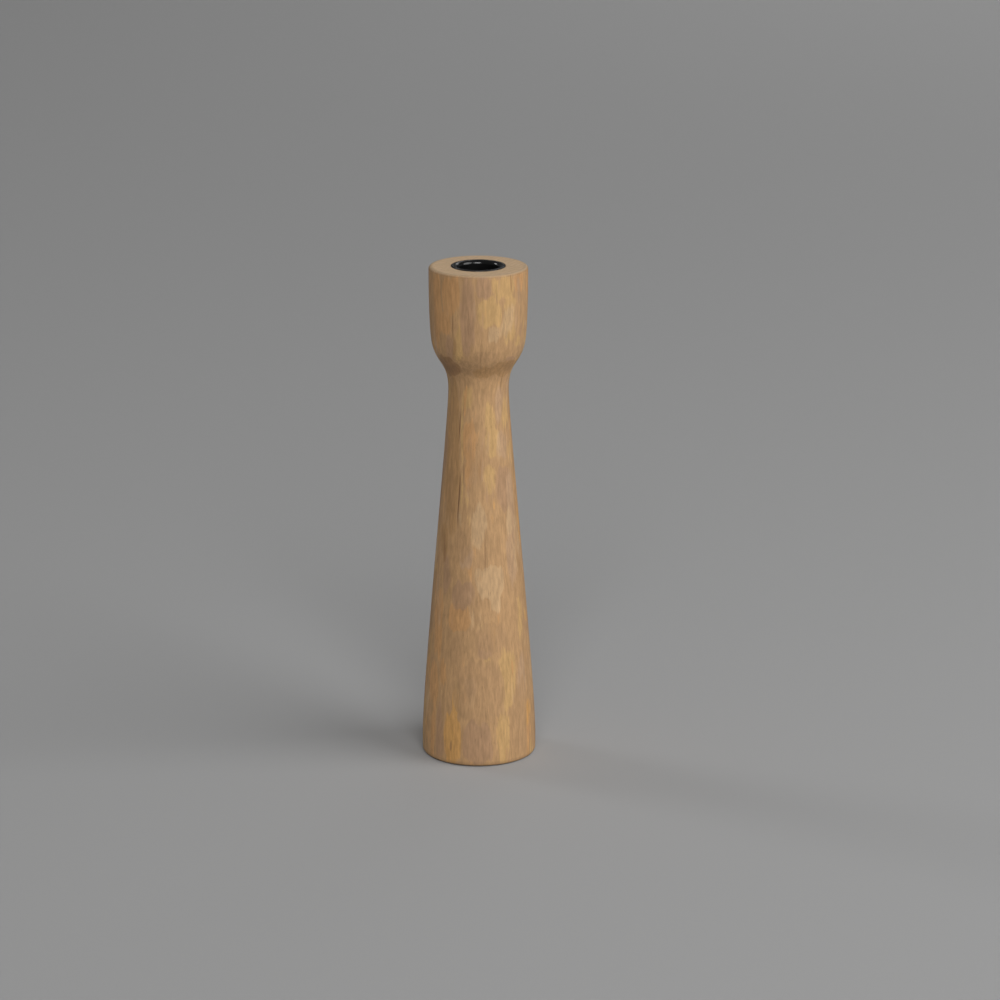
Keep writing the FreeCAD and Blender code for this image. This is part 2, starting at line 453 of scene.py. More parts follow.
def add_bump(tree, shader, height, strength, distance):
    """Bumps in the finish. Distance is how high they are, in metres."""
    feeds = {"Strength": strength, "Distance": distance, "Height": height}
    tree.links.new(add_node(tree, "ShaderNodeBump", None, feeds).outputs[0], shader.inputs["Normal"])


# %% [markdown]
# ## The wood's finish
#
# The real wood is a pale tropical timber with an uneven stain: ochre, orange and mauve-grey
# areas with frayed edges that are drawn out along the fibres, a few bleached spots, fine
# fibres, short pores and some checks. The tones are patches, each with its own soft mask
# painted on the mesh and frayed by streaks in the shader. Fibres and pores are noise on the
# object's own coordinates, so they run through the whole block, also over the end grain.
# The top and the underside are end grain: paler, with faint growth rings.
# Some dark patches under the bowl, and the darkening of worn edges, are partly painted shade.

# %% The tones of the wood
WOOD_TAN = (0.510, 0.305, 0.148, 1)
END_GRAIN = (0.640, 0.465, 0.295, 1)
END_GRAIN_RING = (0.560, 0.385, 0.225, 1)
WOOD_TONES = {
    "straw": (0.585, 0.362, 0.150, 1),
    "orange": (0.580, 0.312, 0.130, 1),
    "mauve": (0.425, 0.254, 0.143, 1),
    "pink": (0.500, 0.315, 0.182, 1),
    "pale": (0.580, 0.378, 0.204, 1),
    "amber": (0.630, 0.335, 0.105, 1),
    "dun": (0.465, 0.278, 0.138, 1),
    "umber": (0.430, 0.245, 0.106, 1),
    "brown": (0.330, 0.180, 0.084, 1),
}
CRACK_BROWN = (0.13, 0.065, 0.030, 1)
PATCH_STRENGTH, END_GRAIN_STRENGTH = 0.78, 0.85
PORE_STRENGTH, CHECK_STRENGTH = 0.28, 0.75
print(f"{len(WOOD_TONES)} tones over a tan ground")

# %% The wood
HEART = (-0.055, 0.040, 0.0)
RING_TURN = 2300.0


def growth_rings(tree, place):
    """Faint uneven rings, 2.7 mm apart, round a heart that lies outside the stick."""
    from_heart = vector_sums(tree, "SUBTRACT", place, HEART)
    flat = vector_sums(tree, "MULTIPLY", from_heart, (1.0, 1.0, 0.0))
    reach = add_node(tree, "ShaderNodeVectorMath", {"operation": "LENGTH"}, {0: flat}).outputs["Value"]
    wobble = clouded(tree, place, size=70.0, low=0.0, high=5.0)
    phase = sums(tree, "ADD", sums(tree, "MULTIPLY", reach, RING_TURN), wobble)
    return ranged(tree, sums(tree, "SINE", phase), -0.2, 1.0, 0.0, 0.55)


def make_turned_wood():
    material, tree, shader, place = new_finish("turned_wood")
    broad = streak(tree, place, across=3.0, along=34.0, start=11.0, detail=3.0)
    medium = streak(tree, place, across=1.5, along=8.0, start=23.0, detail=3.0)
    fine = streak(tree, place, across=0.5, along=7.0, start=37.0)
    end_grain = painted(tree, "end_grain")
    wear_and_painted_light = painted(tree, "wear_and_painted_light")

    # The tones lie over each other, each with an edge that the streaks fray.
    blended = sums(tree, "ADD", sums(tree, "MULTIPLY", broad, 0.65), sums(tree, "MULTIPLY", medium, 0.35))
    fray = ranged(tree, blended, 0.36, 0.64)
    colour = WOOD_TAN
    for tone, tint in WOOD_TONES.items():
        patch = frayed(tree, painted(tree, tone), fray, raggedness=0.50, softness=0.16)
        colour = blend_colour(tree, sums(tree, "MULTIPLY", patch, PATCH_STRENGTH), colour, tint)
    end_colour = blend_colour(tree, growth_rings(tree, place), END_GRAIN, END_GRAIN_RING)
    colour = blend_colour(tree, sums(tree, "MULTIPLY", end_grain, END_GRAIN_STRENGTH), colour, end_colour)

    # Fibres darken and lighten the tone a little, at two widths, and less so on end grain.
    medium_fibres = ranged(tree, medium, 0.35, 0.65, -0.11, 0.11)
    fine_fibres = ranged(tree, fine, 0.3, 0.7, -0.065, 0.065)
    fibres = sums(tree, "ADD", medium_fibres, fine_fibres)
    fibres = sums(tree, "MULTIPLY", fibres, ranged(tree, end_grain, 0.0, 1.0, 1.0, 0.35))
    depth = sums(tree, "ADD", fibres, ranged(tree, broad, 0.3, 0.7, 0.94, 1.06))
    # Worn edges of the rim and foot are darkened: partly the darkening that handling leaves, partly painted
    # shade that tones down the light on their rounded edges.
    depth = sums(tree, "MULTIPLY", depth, ranged(tree, wear_and_painted_light, 0.0, 1.0, 1.0, 0.84))
    colour = blend_colour(tree, 1.0, colour, grey(tree, depth), "MULTIPLY")

    # Pores are short dark dashes, and checks are the cracks cut into the mesh.
    dashes = streak(tree, place, across=0.30, along=2.4, start=51.0, detail=1.0)
    pore = ranged(tree, dashes, 0.66, 0.74)
    dark_pore = sums(tree, "MULTIPLY", pore, PORE_STRENGTH)
    dark_check = sums(tree, "MULTIPLY", painted(tree, "check"), CHECK_STRENGTH)
    dark = sums(tree, "MAXIMUM", dark_pore, dark_check)
    colour = blend_colour(tree, dark, colour, CRACK_BROWN)
    tree.links.new(colour, shader.inputs["Base Color"])

    # Dark places are rougher, and rubbed edges are smoother.
    mottle = clouded(tree, place, size=60.0, low=0.55, high=0.68)
    roughness = sums(tree, "ADD", mottle, sums(tree, "MULTIPLY", dark, 0.3))
    roughness = sums(tree, "SUBTRACT", roughness, sums(tree, "MULTIPLY", wear_and_painted_light, 0.08))
    tree.links.new(roughness, shader.inputs["Roughness"])
    shader.inputs["Specular IOR Level"].default_value = 0.28

    grain = sums(tree, "ADD", sums(tree, "MULTIPLY", fine, 0.6), sums(tree, "MULTIPLY", medium, 0.4))
    height = sums(tree, "SUBTRACT", grain, sums(tree, "MULTIPLY", pore, 0.8))
    add_bump(tree, shader, height, strength=0.5, distance=0.00012)
    return material


turned_wood = make_turned_wood()
print(f"turned_wood has {len(turned_wood.node_tree.nodes)} nodes")

# %% [markdown]
# ## The stick
#
# The blank comes off the lathe smooth. Then the mesh gets what a knife or a fingernail would
# find on the real one: shallow furrows between the fibres, and the checks, which are narrow
# cracks that follow the grain. They only cut inwards, so the stick keeps its size. The same
# checks are painted on the mesh, so that colour and cut lie on each other.

# %% Turn the stick
stick = turned("stick", stick_outline(), columns=400, finish=turned_wood)
places = np.empty(len(stick.data.vertices) * 3)
stick.data.vertices.foreach_get("co", places)
places = places.reshape(-1, 3) / MM
radius = np.hypot(places[:, 0], places[:, 1])
bearing = np.arctan2(places[:, 0], -places[:, 1])
arc = bearing * radius
height = places[:, 2]

# The outside is all but the bores, the flat top and the recess under the foot.
flat_top = (height > stick_top - 0.6) & (radius < RIM_RADIUS - 1.3)
recess = (height < PAD_CEILING + 0.2) & (radius < RECESS_RADIUS + 0.7)
outside = np.clip((radius - 14.0) / 2.0, 0, 1) * np.clip((height - 0.4) / 0.2, 0, 1)
outside *= np.where(flat_top | recess, 0.0, 1.0)
print(f"{int((outside > 0.5).sum())} of {len(places)} points lie on the outside")


# %% Noise on the stick's points
def drawn_noise(across, along, start):
    """Noise from about -1 to 1 at every point of the stick, drawn out along it. Sizes in millimetres."""
    scaled = places / (across, across, along) + start
    return np.array([noise.noise(Vector(place)) for place in scaled])


wander_round = drawn_noise(5.0, 17.0, 5.0)
wander_up = drawn_noise(2.6, 60.0, 9.0)
furrows = drawn_noise(0.9, 16.0, 3.0)
print(f"furrow noise runs from {furrows.min():.2f} to {furrows.max():.2f}")

# %% [markdown]
# ## Where the tones lie
#
# On the side that faces the camera the patches are placed one by one, as a stainer would dab
# them: the middle of the patch round the stick, its top and bottom, and its width, all in
# millimetres. Round the sides and the back the same tones come from noise, in patches of the
# same size, so the stick is as lively there. The two hand over softly.
# A few dark patches in the band under the bowl are partly painted shade under the bowl.

# %% Patches on the front, by tone
FRONT_PATCHES = {
    "straw": [
        (6.5, 268, 251, 13), (15, 280, 267, 13), (18, 268, 241, 10), (25, 244, 238, 5),
        (-11, 249, 230, 5), (-6, 216, 203, 5), (-9.3, 206, 176, 1.8), (-9.8, 168, 148, 1.4),
        (6, 207, 190, 6), (19, 214, 190, 7), (8, 192, 175, 9), (6, 172, 156, 7), (27, 162, 145, 6),
        (17, 67, 33, 10), (-12.5, 50, 30, 4), (14.5, 31, 2, 8.5), (-16, 22, 8, 4), (28, 96, 70, 6),
        (4, 70, 58, 5),
    ],
    "orange": [
        (-17, 280, 258, 11), (-20, 260, 246, 8), (-28, 280, 234, 11), (27, 280, 268, 9),
        (-5, 195, 172, 8), (-6, 175, 158, 4), (-7, 216, 200, 1.6), (-24, 200, 150, 5),
        (-12, 93, 78, 14), (-27, 100, 62, 9), (-31, 60, 30, 8), (-34, 140, 100, 6), (34, 35, 4, 8),
        (-31, 215, 205, 4), (-38, 34, 4, 6), (-31, 32, 2, 6), (-23, 62, 44, 5), (-32, 108, 92, 5),
        (-5.4, 93, 82, 1.6), (19.8, 62, 50, 1.4), (-11.4, 279, 262, 1.6),
    ],
    "mauve": [
        (-6, 279, 236, 7), (3, 280, 268, 10), (-17, 246, 231, 7), (16, 170, 145, 12),
        (-9, 106, 90, 12), (3.5, 76, 62, 9), (-1, 28, 2, 17), (-25, 32, 2, 6), (19, 233, 228, 7),
        (28, 252, 243, 4), (30, 140, 118, 5), (-17, 168, 142, 6), (-20, 118, 98, 6),
    ],
    "pink": [
        (-2, 268, 253, 2), (15, 190, 175, 6), (28, 62, 36, 7), (-7, 126, 114, 7), (13, 216, 196, 6),
        (26, 280, 262, 4), (-5, 52, 40, 6), (22, 170, 103, 9), (28, 150, 106, 8),
    ],
    "pale": [
        (8, 252, 242, 7), (18, 264, 247, 5), (0, 150, 127, 8), (-10.6, 147, 138, 3), (19, 146, 130, 5),
        (15, 262, 244, 5), (27, 146, 108, 9), (6.5, 115, 96, 17), (9, 98, 89, 6), (-4, 42, 34, 4),
    ],
    "amber": [
        (-15.5, 33, 1, 12), (-13, 44, 28, 5), (35, 36, 20, 7),
    ],
    "dun": [
        (0, 62, 26, 30), (8, 82, 66, 20), (-13, 76, 58, 8), (26, 46, 3, 13), (4, 238, 231, 14),
        # The dun patch from 222 to 232 mm lies under the bowl, and is partly painted shade under the bowl.
        (-5, 232, 222, 14), (-10, 136, 118, 10),
    ],
    "umber": [
        # The second and third umber patches, from 221 to 231 mm, lie under the bowl, and are partly painted
        # shade under the bowl.
        (-17.5, 222, 136, 12), (4, 228, 221, 12), (17, 231, 221, 18), (-23, 138, 119, 9),
        (-13.5, 245, 233, 2),
    ],
    "brown": [
        # The first brown patch, from 220 to 233 mm, lies under the bowl on the left, and is partly painted
        # shade under the bowl over a dark stain.
        (-20, 233, 220, 18), (-22.4, 131, 117, 3), (-14.6, 260, 246, 0.8), (18.6, 280, 271, 1.4),
        (-17, 15, 8, 1.8),
    ],
}
print(f"{sum(len(patches) for patches in FRONT_PATCHES.values())} patches on the front")

# %% Paint the tones
EDGE_WIDTH = 1.7
FRONT_LIMIT, FRONT_FADE = 80, 25
SCATTER_EDGE, SCATTER_HELD_BACK = 2.2, 0.62
TONE_SHARES = {
    "straw": 0.15, "orange": 0.12, "mauve": 0.15, "pink": 0.09, "pale": 0.10,
    "amber": 0.02, "dun": 0.12, "umber": 0.07, "brown": 0.02,
}


def dabbed(patches):
    """The strongest of the patches at each point: 0.5 on a patch's edge and 1 well inside it."""
    strongest = np.zeros(len(places))
    for middle, top, bottom, width in patches:
        # The edge wanders, the more so at the ends of a long patch, and the corners are round.
        across = np.abs(arc + wander_round * 2.0 - middle) / (width / 2)
        sway = min(6.0, 0.6 + 0.13 * (top - bottom))
        along = np.abs(height + wander_up * sway - (top + bottom) / 2) / ((top - bottom) / 2)
        inside = 1 - (across ** 2.2 + along ** 2.6) ** (1 / 2.4)
        reach = max(width / 2 / EDGE_WIDTH, 0.9)
        strongest = np.maximum(strongest, np.clip(0.5 + 0.5 * inside * reach, 0, 1))
    return strongest


def scattered(share, number):
    """Patches from noise that cover a share of the points. Each number gives other patches."""
    blotches = drawn_noise(8.0, 32.0, 40.0 + 13.0 * number)
    blotches = blotches + 0.3 * drawn_noise(3.2, 15.0, 70.0 + 13.0 * number)
    level = np.quantile(blotches, 1 - share)
    return np.clip(0.5 + (blotches - level) * SCATTER_EDGE, 0, 1)


def paint(piece, name, values):
    layer = piece.data.attributes.new(name, "FLOAT", "POINT")
    layer.data.foreach_set("value", np.asarray(values, dtype=np.float32))


front = np.clip((FRONT_LIMIT - np.degrees(np.abs(bearing))) / FRONT_FADE, 0, 1) * outside
for number, (tone, share) in enumerate(TONE_SHARES.items()):
    all_round = scattered(share, number) * (1 - SCATTER_HELD_BACK * front)
    values = np.maximum(dabbed(FRONT_PATCHES[tone]) * front, all_round)
    paint(stick, tone, values)
    print(f"{tone}: over {100 * (values > 0.5).mean():.0f}% of the points")

recess_ceiling = (height < PAD_CEILING + 0.2) & (radius < RECESS_RADIUS + 0.1)
underneath = (height < WOOD_BOTTOM + 0.2) | recess_ceiling
top_face = np.clip((height - (stick_top - 0.9)) / 0.8, 0, 1)
paint(stick, "end_grain", np.where(underneath, 1.0, top_face))

# %% The checks: middle, top, bottom, width and depth of each, in millimetres
CHECKS = [
    (1.2, 250, 221, 0.5, 0.16), (-5.8, 268, 236, 0.4, 0.08), (13.6, 223, 209, 0.5, 0.34),
    (-11.3, 202, 183, 0.6, 0.48), (-11.8, 167, 135, 0.7, 0.60), (3.5, 132, 110, 0.5, 0.34),
    (-14.7, 259, 247, 0.4, 0.09), (-22.4, 129, 110, 0.5, 0.15), (-8.6, 177, 160, 0.5, 0.20),
    (24.0, 101, 97, 0.5, 0.15), (0.8, 175, 170, 0.5, 0.16), (-8.0, 222, 213, 0.4, 0.12),
    (57.0, 190, 140, 0.7, 0.35), (-62.0, 120, 70, 0.7, 0.35), (70.0, 262, 236, 0.7, 0.30),
    (-48.0, 200, 176, 0.6, 0.25), (-80.0, 60, 18, 0.7, 0.30), (88.0, 96, 64, 0.6, 0.28),
    (45.0, 60, 30, 0.6, 0.24), (-68.0, 268, 240, 0.6, 0.28),
]
print(f"{len(CHECKS)} checks")

# %% Cut the furrows and the checks
CHECK_DEPTH, FURROW_DEPTH, SANDED_OFF = 0.7, 0.05, 0.01
cut = np.zeros(len(places))
for middle, top, bottom, width, depth in CHECKS:
    # A check keeps its bearing, so it stays on its side of the stick as the girth changes.
    girth = np.median(radius[(np.abs(height - (top + bottom) / 2) < 3) & (outside > 0.5)])
    across = (arc - middle * radius / girth + wander_round * 0.6) / (width * 0.55)
    along = (height - (top + bottom) / 2) / ((top - bottom) / 2)
    taper = np.clip(1 - along ** 2, 0, 1)
    cut = np.maximum(cut, CHECK_DEPTH * depth * np.exp(-across ** 2) * taper)
cut *= outside
paint(stick, "check", np.clip(cut / 0.30, 0, 1))

inward = (cut + np.clip(furrows, 0, 1) * FURROW_DEPTH + SANDED_OFF) * outside
normals = np.empty(len(places) * 3)
stick.data.vertices.foreach_get("normal", normals)
places = places - normals.reshape(-1, 3) * inward[:, None]
stick.data.vertices.foreach_set("co", (places * MM).ravel())
stick.data.update()
print(f"checks up to {cut.max():.2f} mm deep")

# %% [markdown]
# ## The candle cup
#
# The real cup is pressed from sheet steel and enamelled gloss black: a pierced floor, a
# straight side, a rounded throat and a flange that lies in a seat in the wood. It is turned
# here as a closed shell, inside and outside in one outline. The enamel is dark and glossy,
# a little uneven, as sprayed paint is, and rubbed on its edges where candles go in. The grey
# on the flat of its flange is partly that rubbing and partly a painted reflection.

# %% The cup's finish
# The grey of rubbed enamel. On the flat of the flange it is partly a painted reflection.
SCUFF_AND_PAINTED_REFLECTION = (0.042, 0.039, 0.036, 1)


def make_black_enamel():
    material, tree, shader, place = new_finish("black_enamel")
    specks = streak(tree, place, across=0.5, along=0.5, start=71.0, detail=3.0)
    # The wear mask greys the enamel. On the flat of the flange that grey is partly rubbed enamel and partly a
    # painted reflection.
    rubbed_and_painted_light = sums(tree, "MULTIPLY", painted(tree, "wear_and_painted_light"), 0.6)
    wear_and_painted_light = frayed(tree, rubbed_and_painted_light, specks, raggedness=0.7, softness=0.25)
    black = grey(tree, clouded(tree, place, size=160.0, low=0.004, high=0.008))
    tree.links.new(blend_colour(tree, wear_and_painted_light, black, SCUFF_AND_PAINTED_REFLECTION), shader.inputs["Base Color"])
    mottle = clouded(tree, place, size=240.0, low=0.10, high=0.20)
    roughness = sums(tree, "ADD", mottle, sums(tree, "MULTIPLY", wear_and_painted_light, 0.25))
    tree.links.new(roughness, shader.inputs["Roughness"])
    feeds = {"Vector": place, "Scale": 900.0, "Detail": 1.0}
    peel = add_node(tree, "ShaderNodeTexNoise", None, feeds).outputs["Fac"]
    add_bump(tree, shader, peel, strength=0.25, distance=0.00004)
    return material


black_enamel = make_black_enamel()
print(f"black_enamel has {len(black_enamel.node_tree.nodes)} nodes")

# %% Turn the cup
CUP_HOLE, CUP_BORE, CUP_FLOOR_BEND, CUP_THROAT = 2.0, 11.3, 2.0, 2.0
CUP_FLANGE, CUP_FLANGE_EDGE = 15.0, 0.3


def cup_outline():
    throat_centre = (CUP_BORE + CUP_THROAT, cup_top - CUP_THROAT)
    floor_centre = (CUP_BORE - CUP_FLOOR_BEND, CUP_FLOOR + CUP_FLOOR_BEND)
    edge_centre = (CUP_FLANGE - CUP_FLANGE_EDGE, cup_top - CUP_FLANGE_EDGE)
    inside = straight((CUP_HOLE, CUP_FLOOR), (floor_centre[0], CUP_FLOOR), FLAT_SPACING)
    inside += bend(floor_centre, CUP_FLOOR_BEND, 90, 0, 8)
    inside += straight((CUP_BORE, floor_centre[1]), (CUP_BORE, throat_centre[1]), FLAT_SPACING)[1:]
    inside += bend(throat_centre, CUP_THROAT, -180, -90, 14)
    # The flat of the flange gets a wear of 0.75: partly rubbed enamel, partly a painted reflection.
    inside += [(throat_centre[0] + 0.3, cup_top, 0.75), (edge_centre[0] - 0.3, cup_top, 0.75)]
    inside += bend(edge_centre, CUP_FLANGE_EDGE, -90, 0, 4, wear_and_painted_light=0.15)
    outer = CUP_BORE + CUP_WALL
    back = [(CUP_FLANGE, CUP_SEAT, 0.0), (throat_centre[0], CUP_SEAT, 0.0)]
    back += bend(throat_centre, CUP_THROAT - CUP_WALL, -90, -180, 6)[1:]
    back += straight((outer, throat_centre[1]), (outer, floor_centre[1]), 4.0)[1:]
    back += bend(floor_centre, CUP_FLOOR_BEND + CUP_WALL, 0, 90, 6)
    back += [(CUP_HOLE, CUP_FLOOR - CUP_WALL, 0.0), (CUP_HOLE, CUP_FLOOR, 0.0)]
    return inside + back


cup = turned("cup", cup_outline(), columns=144, finish=black_enamel)

# %% [markdown]
# ## The screw
#
# A small pan head wood screw holds the cup down. Its head shows at the bottom of the cup when
# the stick is looked into from above. The blank is turned, a second Geometry Nodes tree cuts
# the thread by pushing points inwards along a helix, and the cross is cut with a Boolean, as
# a press forms it.

# %% The screw's finish
BLACK_STEEL, BARE_STEEL = (0.035, 0.034, 0.036, 1), (0.30, 0.29, 0.28, 1)


def make_blackened_steel():
    material, tree, shader, place = new_finish("blackened_steel")
    specks = streak(tree, place, across=0.35, along=0.35, start=83.0, detail=3.0)
    rubbed_and_painted_light = sums(tree, "MULTIPLY", painted(tree, "wear_and_painted_light"), 0.46)
    wear_and_painted_light = frayed(tree, rubbed_and_painted_light, specks, raggedness=1.0, softness=0.12)
    tree.links.new(blend_colour(tree, wear_and_painted_light, BLACK_STEEL, BARE_STEEL), shader.inputs["Base Color"])
    mottle = clouded(tree, place, size=500.0, low=0.30, high=0.48)
    tree.links.new(mottle, shader.inputs["Roughness"])
    shader.inputs["Metallic"].default_value = 0.85
    add_bump(tree, shader, specks, strength=0.3, distance=0.00003)
    return material


blackened_steel = make_blackened_steel()
print(f"blackened_steel has {len(blackened_steel.node_tree.nodes)} nodes")


# %% A tree that cuts a thread
def make_thread_cutter():
    inputs = {
        "Blank": ("Geometry", None),
        "Pitch": ("Float", 0.0014),
        "Depth": ("Float", 0.0005),
        "Bottom": ("Float", 0.0),
        "Top": ("Float", 0.01),
    }
    tree, given, made = new_tree("cut_thread", "GeometryNodeTree", inputs, {"Screw": ("Geometry", None)})
    where = add_node(tree, "GeometryNodeInputPosition").outputs[0]
    place = add_node(tree, "ShaderNodeSeparateXYZ", None, {0: where}).outputs

    # Lead runs from 0 to 1 between one turn of the helix and the next, with the crest at a half.
    turn = sums(tree, "DIVIDE", sums(tree, "ARCTAN2", place["Y"], place["X"]), math.tau)
    lead = sums(tree, "FRACT", sums(tree, "SUBTRACT", sums(tree, "DIVIDE", place["Z"], given["Pitch"]), turn))
    root = ranged(tree, sums(tree, "ABSOLUTE", sums(tree, "SUBTRACT", lead, 0.5)), 0.04, 0.26)

    # The cut fades out below the head, stops above the point, and is shallower on the taper.
    square = sums(tree, "ADD", sums(tree, "POWER", place["X"], 2), sums(tree, "POWER", place["Y"], 2))
    radius = sums(tree, "SQRT", square)
    room = sums(tree, "SUBTRACT", given["Top"], place["Z"])
    below = sums(tree, "DIVIDE", room, given["Pitch"], clamp=True)
    above = sums(tree, "GREATER_THAN", place["Z"], given["Bottom"])
    depth = sums(tree, "MINIMUM", given["Depth"], sums(tree, "MULTIPLY", radius, 0.45))
    cut = sums(tree, "MULTIPLY", sums(tree, "MULTIPLY", root, depth), sums(tree, "MULTIPLY", below, above))

    outward = vector_sums(tree, "NORMALIZE", vector(tree, place["X"], place["Y"]))
    feeds = {0: outward, "Scale": sums(tree, "MULTIPLY", cut, -1)}
    push = add_node(tree, "ShaderNodeVectorMath", {"operation": "SCALE"}, feeds).outputs[0]
    feeds = {"Geometry": given["Blank"], "Offset": push}
    moved = add_node(tree, "GeometryNodeSetPosition", None, feeds)
    finish_tree(tree, moved.outputs[0], blackened_steel, made["Screw"])
    return tree


thread_cutter = make_thread_cutter()
print(f"the thread cutter has {len(thread_cutter.nodes)} nodes")

# %% Turn the blank and put the thread on it
HEAD_RADIUS, HEAD_HEIGHT, HEAD_RIM = 3.4, 1.6, 0.7
SHANK, SCREW_LENGTH, TIP_LENGTH = 1.75, 16.0, 4.0
THREAD_PITCH, THREAD_DEPTH, THREAD_ROWS = 1.4, 0.55, 0.11


def screw_outline():
    crown = HEAD_HEIGHT - HEAD_RIM
    dome = (HEAD_RADIUS ** 2 + crown ** 2) / (2 * crown)
    rim_lean = -math.degrees(math.acos(HEAD_RADIUS / dome))
    dome_centre = (0.0, CUP_FLOOR + HEAD_HEIGHT - dome)
    tip = CUP_FLOOR - SCREW_LENGTH
    head = bend(dome_centre, dome, -90, rim_lean, 12, wear_and_painted_light=0.5)
    head += [(HEAD_RADIUS, CUP_FLOOR + 0.08, 1.0), (HEAD_RADIUS - 0.08, CUP_FLOOR, 0.6)]
    shank = straight((SHANK, CUP_FLOOR), (SHANK, tip + TIP_LENGTH), THREAD_ROWS)
    shank += straight((SHANK, tip + TIP_LENGTH), (0.0, tip), THREAD_ROWS)
    return head + shank + [(0.0, tip, 0.0)]


screw_blank = turned("screw_blank", screw_outline(), columns=48, finish=blackened_steel)
add_tree(screw_blank, thread_cutter, {
    "Pitch": THREAD_PITCH * MM,
    "Depth": THREAD_DEPTH * MM,
    "Bottom": (CUP_FLOOR - SCREW_LENGTH + 0.2) * MM,
    "Top": (CUP_FLOOR - 1.6) * MM,
})

# %% Cut the cross in its head
CROSS_TOP, CROSS_BOTTOM, CROSS_DEPTH = (3.6, 0.9), (2.2, 0.6), 0.9


def cross_cutter():
    """Two tapered blades at right angles, narrower at the bottom. Each end has a span and a width."""
    work = bmesh.new()
    for quarter in (0, 1):
        blade = bmesh.ops.create_cube(work, size=1.0)["verts"]
        for vert in blade:
            low = vert.co.z < 0
            span, width = CROSS_BOTTOM if low else CROSS_TOP
            along, across = vert.co.x * span * MM, vert.co.y * width * MM
            level = CUP_FLOOR + HEAD_HEIGHT - CROSS_DEPTH if low else CUP_FLOOR + HEAD_HEIGHT + 0.5
            vert.co = (along, across, level * MM) if quarter else (-across, along, level * MM)
    mesh = bpy.data.meshes.new("cross_cutter")
    work.to_mesh(mesh)
    work.free()
    return placed("cross_cutter", mesh)


cutter = cross_cutter()
cross = screw_blank.modifiers.new("cross", "BOOLEAN")
cross.object = cutter
cross.operation = "DIFFERENCE"
cross.solver = "EXACT"
cross.use_self = True
screw = taken_off(screw_blank, "screw")
bpy.data.objects.remove(cutter)
face_out(screw, sharp=30)
print(f"screw: {len(screw.data.polygons)} faces")

# %% [markdown]
# ## The felt pad
#
# Felt is a mat of short wool hairs, pressed and cut with a knife. The pad is turned as a disc
# with a soft edge and a slightly lumpy face, and Geometry Nodes lay a few thousand fine bent
# hairs on it, each turned its own way from a fixed seed. It lies above the table by a hair's
# thickness, so that no hair goes through the floor.

# %% The felt's finish
FELT_BROWN = (0.034, 0.029, 0.026, 1)


def make_felt():
    material, tree, shader, place = new_finish("felt")
    mat = streak(tree, place, across=0.35, along=0.35, start=91.0, detail=4.0)
    lumps = clouded(tree, place, size=220.0, low=0.75, high=1.2)
    tone = grey(tree, sums(tree, "MULTIPLY", lumps, ranged(tree, mat, 0.3, 0.7, 0.4, 1.8)))
    tree.links.new(blend_colour(tree, 1.0, FELT_BROWN, tone, "MULTIPLY"), shader.inputs["Base Color"])
    tree.links.new(ranged(tree, mat, 0.2, 0.8, 0.88, 1.0), shader.inputs["Roughness"])
    shader.inputs["Sheen Weight"].default_value = 0.5
    add_bump(tree, shader, mat, strength=1.0, distance=0.0004)
    return material


felt = make_felt()
print(f"felt has {len(felt.node_tree.nodes)} nodes")


